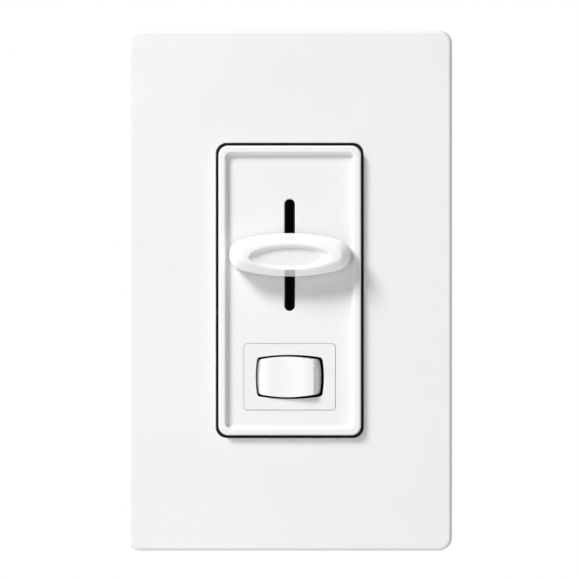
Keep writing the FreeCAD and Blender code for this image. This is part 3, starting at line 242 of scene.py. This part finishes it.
MATERIALS = {
    "plate_white": moulded_plastic("plate_white", (0.885, 0.882, 0.905), 0.42, 1800, 0.000012, 0.12),
    "adapter_white": moulded_plastic("adapter_white", (0.74, 0.74, 0.74), 0.55, 1500, 0.00002),
    "yoke_aluminium": brushed_metal("yoke_aluminium", (0.56, 0.565, 0.575), 0.33, "z", depth=0.00001),
    "screw_zinc": brushed_metal("screw_zinc", (0.66, 0.67, 0.66), 0.3, "none", 1600),
    "fibre": fibrous("fibre", (0.40, 0.075, 0.045)),
    "ground_green": brushed_metal("ground_green", (0.03, 0.27, 0.09), 0.32, "none", 1600),
    "bezel_white": moulded_plastic("bezel_white", (0.90, 0.90, 0.905), 0.30, 2600, 0.000006, 0.2),
    # shield_black: a real black shield part, but its near-zero colour also stands in for shade, so the slot
    # and the gaps around the bezel read as black; partly painted shade
    "shield_black": moulded_plastic("shield_black", (0.006, 0.006, 0.006), 0.85, 1500, 0.00002),
    "knob_white": translucent_plastic("knob_white", (0.95, 0.95, 0.945), KNOB_FRONT + 0.1 * MM,
                                      KNOB_FRONT + 1.4 * MM, KNOB_MIDDLE - DISH_BELOW, DISH_REACH),
    "lever_black": moulded_plastic("lever_black", (0.02, 0.02, 0.02), 0.5, 1500, 0.00001),
    "pot_steel": brushed_metal("pot_steel", (0.62, 0.62, 0.60), 0.35, "z"),
    "phenolic_brown": fibrous("phenolic_brown", (0.16, 0.07, 0.03), 0.5),
    "nylon_natural": moulded_plastic("nylon_natural", (0.78, 0.75, 0.67), 0.45, 1800, 0.00001, 0.3),
    "contact_brass": brushed_metal("contact_brass", (0.80, 0.58, 0.26), 0.3, "x"),
    "switch_white": moulded_plastic("switch_white", (0.90, 0.90, 0.905), 0.30, 2600, 0.000006, 0.2),
    "switch_base_black": moulded_plastic("switch_base_black", (0.02, 0.02, 0.02), 0.6, 1500, 0.00002),
    "rocker_white": moulded_plastic("rocker_white", (0.91, 0.91, 0.912), 0.22, 2600, 0.000004, 0.25),
    "spring_steel": brushed_metal("spring_steel", (0.55, 0.55, 0.55), 0.3, "none"),
    "cover_black": moulded_plastic("cover_black", (0.018, 0.018, 0.019), 0.48, 1300, 0.00003, variation=0.25),
    "label_blank": fibrous("label_blank", (0.72, 0.72, 0.70), 0.55, 2200),
    "board_green": moulded_plastic("board_green", (0.015, 0.14, 0.05), 0.4, 1500, 0.00001, coat=0.4),
    "epoxy_black": moulded_plastic("epoxy_black", (0.02, 0.02, 0.022), 0.55, 1600, 0.00002),
    "tinned_copper": brushed_metal("tinned_copper", (0.70, 0.70, 0.68), 0.3, "z"),
    "ferrite_grey": moulded_plastic("ferrite_grey", (0.07, 0.07, 0.075), 0.7, 1200, 0.00003),
    "copper_enamel": brushed_metal("copper_enamel", (0.50, 0.14, 0.05), 0.28, "none", 1200),
    "capacitor_red": moulded_plastic("capacitor_red", (0.34, 0.04, 0.02), 0.3, 900, 0.00002, coat=0.3),
    "resistor_tan": moulded_plastic("resistor_tan", (0.52, 0.36, 0.18), 0.45, 900, 0.00002),
    "glass_blue": moulded_plastic("glass_blue", (0.03, 0.06, 0.24), 0.2, 900, 0.00001, coat=0.5),
    "fish_paper": fibrous("fish_paper", (0.22, 0.24, 0.20)),
}
SLOT_OF = {item["node"]: item["material_slot"] for item in frame["record"]["subparts"]}
for node, cad_object in NODES.items():
    material = MATERIALS[SLOT_OF[node]]
    if not cad_object.material_slots:
        cad_object.data.materials.append(material)
    for holder in cad_object.material_slots:
        holder.material = material

# ------------------------------------------------------------------ screws with threads and drives

THREAD_PITCH = 0.79375 * MM        # 32 threads to the inch
THREAD_DEPTH = 0.36 * MM
SEGMENTS = 64
SHARP_EDGE = math.radians(32)


def centre_of(node):
    """The middle of a node, seen from the front, as x and z."""
    low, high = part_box(node)
    return (low[0] + high[0]) / 2, (low[2] + high[2]) / 2


def ring_radius(radius, depth, angle, threaded, sides):
    """The surface's distance from the screw's axis at one depth and angle."""
    if sides:
        sector = 2 * math.pi / sides
        return radius / math.cos((angle % sector) - sector / 2)
    if not threaded:
        return radius
    phase = (depth / THREAD_PITCH - angle / (2 * math.pi)) % 1
    crest = min(1, max(0, 1.35 - 3.2 * abs(phase - 0.5)))
    return radius - THREAD_DEPTH * (1 - crest)


def turned_piece(name, centre, rings):
    """A closed mesh of rings about an axis along Y. A ring is (depth, radius, threaded, sides)."""
    mesh = bmesh.new()
    loops = []
    for depth, radius, threaded, sides in rings:
        loop = []
        for step in range(SEGMENTS):
            angle = 2 * math.pi * step / SEGMENTS
            reach = ring_radius(radius, depth, angle, threaded, sides)
            loop.append(mesh.verts.new((centre[0] + reach * math.cos(angle), depth,
                                        centre[1] + reach * math.sin(angle))))
        loops.append(loop)
    for near, far in zip(loops, loops[1:]):
        for step in range(SEGMENTS):
            after = (step + 1) % SEGMENTS
            mesh.faces.new((near[step], near[after], far[after], far[step]))
    mesh.faces.new(list(reversed(loops[0])))
    mesh.faces.new(loops[-1])
    bmesh.ops.recalc_face_normals(mesh, faces=mesh.faces)
    data = bpy.data.meshes.new(name)
    mesh.to_mesh(data)
    mesh.free()
    piece = bpy.data.objects.new(name, data)
    bpy.context.collection.objects.link(piece)
    return piece


def thread_rings(start, end, radius, tip):
    """Rings along a threaded length that narrows over its last stretch."""
    count = int(round(abs(end - start) / (THREAD_PITCH / 10)))
    rings = []
    for step in range(count + 1):
        depth = start + (end - start) * step / count
        narrowing = max(0, 1 - abs(end - depth) / tip)
        rings.append((depth, radius - 0.55 * MM * narrowing, True, 0))
    return rings


def cut_box(piece, low, high):
    """Cuts a straight-sided slot out of a piece."""
    bpy.ops.mesh.primitive_cube_add(size=1, location=[(a + b) / 2 for a, b in zip(low, high)])
    cutter = bpy.context.object
    cutter.scale = [b - a for a, b in zip(low, high)]
    modifier = piece.modifiers.new("slot", "BOOLEAN")
    modifier.operation, modifier.solver, modifier.object = "DIFFERENCE", "EXACT", cutter
    evaluated = piece.evaluated_get(bpy.context.evaluated_depsgraph_get())
    data = bpy.data.meshes.new_from_object(evaluated)
    piece.modifiers.clear()
    piece.data = data
    bpy.data.objects.remove(cutter)


def finish_piece(piece, node, slot, body="device"):
    """Smooth shading except at hard edges, the slot's material, and the node that it stands for."""
    piece.data.shade_smooth()
    piece.data.set_sharp_from_angle(angle=SHARP_EDGE)
    piece.data.materials.clear()
    piece.data.materials.append(MATERIALS[slot])
    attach(piece, body)
    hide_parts(node)


def plain(pairs):
    """Unthreaded rings from (depth, radius) pairs in millimetres."""
    return [(depth * MM, radius * MM, False, 0) for depth, radius in pairs]


def make_box_screw(node):
    """Pan head with a crossed slot, a plain neck and a long threaded shank."""
    (low_x, head_front, _), (high_x, tip, _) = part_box(node)
    centre = centre_of(node)
    head_radius = (high_x - low_x) / 2
    dome = [(head_front + 0.85 * MM * (1 - math.cos(angle)), head_radius * (0.42 + 0.58 * math.sin(angle)))
            for angle in (math.radians(9 * step) for step in range(1, 11))]
    rings = [(depth, radius, False, 0) for depth, radius in dome]
    seat = head_front + 2.1 * MM
    rings += [(seat - 0.12 * MM, head_radius, False, 0), (seat, head_radius - 0.1 * MM, False, 0),
              (seat, 1.5 * MM, False, 0), (seat + 1.9 * MM, 1.5 * MM, False, 0)]
    rings += thread_rings(seat + 2.05 * MM, tip, 1.75 * MM, 0.9 * MM)
    piece = turned_piece(f"{node}_threaded", centre, rings)
    for half_x, half_z in ((3.6, 0.42), (0.42, 1.9)):
        cut_box(piece, (centre[0] - half_x * MM, head_front - 0.5 * MM, centre[1] - half_z * MM),
                (centre[0] + half_x * MM, head_front + 1.15 * MM, centre[1] + half_z * MM))
    finish_piece(piece, node, "screw_zinc")


def make_adapter_screw(node):
    """Countersunk oval head with one slot, threaded behind the head."""
    (low_x, head_front, _), (high_x, tip, _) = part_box(node)
    centre = centre_of(node)
    head_radius = (high_x - low_x) / 2
    rings = [(head_front, 0.9 * head_radius, False, 0), (head_front + 0.06 * MM, head_radius, False, 0),
             (head_front + 0.2 * MM, head_radius, False, 0), (head_front + 1.5 * MM, 1.5 * MM, False, 0)]
    rings += thread_rings(head_front + 1.6 * MM, tip, 1.7 * MM, 0.6 * MM)
    piece = turned_piece(f"{node}_threaded", centre, rings)
    cut_box(piece, (centre[0] - 4 * MM, head_front - 0.5 * MM, centre[1] - 0.42 * MM),
            (centre[0] + 4 * MM, head_front + 0.85 * MM, centre[1] + 0.42 * MM))
    finish_piece(piece, node, "screw_zinc")


def make_ground_screw(node):
    """Hexagonal washer head behind the strap, with one slot."""
    (_, front, _), (_, head_back, _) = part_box(node)
    centre = centre_of(node)
    rings = thread_rings(0.05 * MM, front, 1.75 * MM, 0.4 * MM)[::-1]
    rings += plain([(0.05, 1.75), (0.05, 3.85), (0.2, 4.0), (0.95, 3.9), (1.1, 3.2)])
    rings += [(1.15 * MM, 2.75 * MM, False, 6), (head_back - 0.25 * MM, 2.75 * MM, False, 6),
              (head_back, 2.45 * MM, False, 0)]
    piece = turned_piece(f"{node}_threaded", centre, rings)
    cut_box(piece, (centre[0] - 4.5 * MM, head_back - 1.1 * MM, centre[1] - 0.5 * MM),
            (centre[0] + 4.5 * MM, head_back + 0.5 * MM, centre[1] + 0.5 * MM))
    finish_piece(piece, node, "ground_green")


for end in ("top", "bottom"):
    make_box_screw(f"box_screw_{end}")
    make_adapter_screw(f"adapter_screw_{end}")
make_ground_screw("ground_screw")

# ------------------------------------------------------------------ spring behind the plunger

resting_coil = NODES["plunger_spring"]
coil = bpy.data.objects.new("plunger_coil", resting_coil.data.copy())
bpy.context.collection.objects.link(coil)
coil.matrix_world = resting_coil.matrix_world.copy()
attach(coil, "rocker")
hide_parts("plunger_spring")
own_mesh(coil)

# ------------------------------------------------------------------ floor, light and camera

FLOOR_DROP = 0.12
FLOOR_SIDE = 1.36
bpy.ops.mesh.primitive_plane_add(size=FLOOR_SIDE, location=(0, 0, -FLOOR_DROP))
floor = bpy.context.object
floor.name = "floor"
floor_material, floor_tree, floor_shader = new_material("floor_pale")
floor_tree.links.new(ramp(floor_tree, noise(floor_tree, coordinates(floor_tree), 9, 4),
                          (0.80, 0.80, 0.80), (0.84, 0.84, 0.84)), floor_shader.inputs["Base Color"])
floor_shader.inputs["Roughness"].default_value = 0.8
floor.data.materials.append(floor_material)

world = bpy.data.worlds.new("studio")
bpy.context.scene.world = world
world.use_nodes = True
world_tree = world.node_tree
world_tree.nodes.clear()
world_output = world_tree.nodes.new("ShaderNodeOutputWorld")
backdrop = world_tree.nodes.new("ShaderNodeBackground")
ambient = world_tree.nodes.new("ShaderNodeBackground")
chooser = world_tree.nodes.new("ShaderNodeMixShader")
light_path = world_tree.nodes.new("ShaderNodeLightPath")
backdrop.inputs["Color"].default_value = (1, 1, 1, 1)
ambient.inputs["Color"].default_value = (0.95, 0.965, 1.0, 1)
ambient.inputs["Strength"].default_value = 0.24
world_tree.links.new(light_path.outputs["Is Camera Ray"], chooser.inputs["Fac"])
world_tree.links.new(ambient.outputs["Background"], chooser.inputs[1])
world_tree.links.new(backdrop.outputs["Background"], chooser.inputs[2])
world_tree.links.new(chooser.outputs["Shader"], world_output.inputs["Surface"])


def area_light(name, place, target, side, power, color=(1, 1, 1)):
    """A square softbox that looks at a target."""
    data = bpy.data.lights.new(name, "AREA")
    data.size = side
    data.energy = power
    data.color = color
    lamp = bpy.data.objects.new(name, data)
    bpy.context.collection.objects.link(lamp)
    lamp.location = place
    lamp.rotation_euler = (Vector(target) - Vector(place)).to_track_quat("-Z", "Y").to_euler()


area_light("key", (-0.91, -0.81, 1.02), (0, 0, 0), 0.48, 26.7, (1.0, 0.995, 0.985))
area_light("back_fill", (0.6, 0.9, 0.6), (0, 0, 0), 0.8, 4.0)

FRAME_HEIGHT = 0.1322      # metres of the plate's front plane seen from top to bottom
CAMERA_DISTANCE = 0.9
CAMERA_ASIDE, CAMERA_UP = 0.05 * MM, 0.1 * MM
SENSOR = 36.0
plate_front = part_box("wall_plate")[0][1]
camera_data = bpy.data.cameras.new("camera")
camera_data.sensor_width = SENSOR
camera_data.lens = SENSOR * CAMERA_DISTANCE / FRAME_HEIGHT
camera_data.clip_start = 0.01
camera = bpy.data.objects.new("camera", camera_data)
bpy.context.collection.objects.link(camera)
camera.location = (CAMERA_ASIDE, plate_front - CAMERA_DISTANCE, CAMERA_UP)
camera.rotation_euler = (math.pi / 2, 0, 0)
bpy.context.scene.camera = camera
bpy.context.scene.view_settings.view_transform = "Standard"
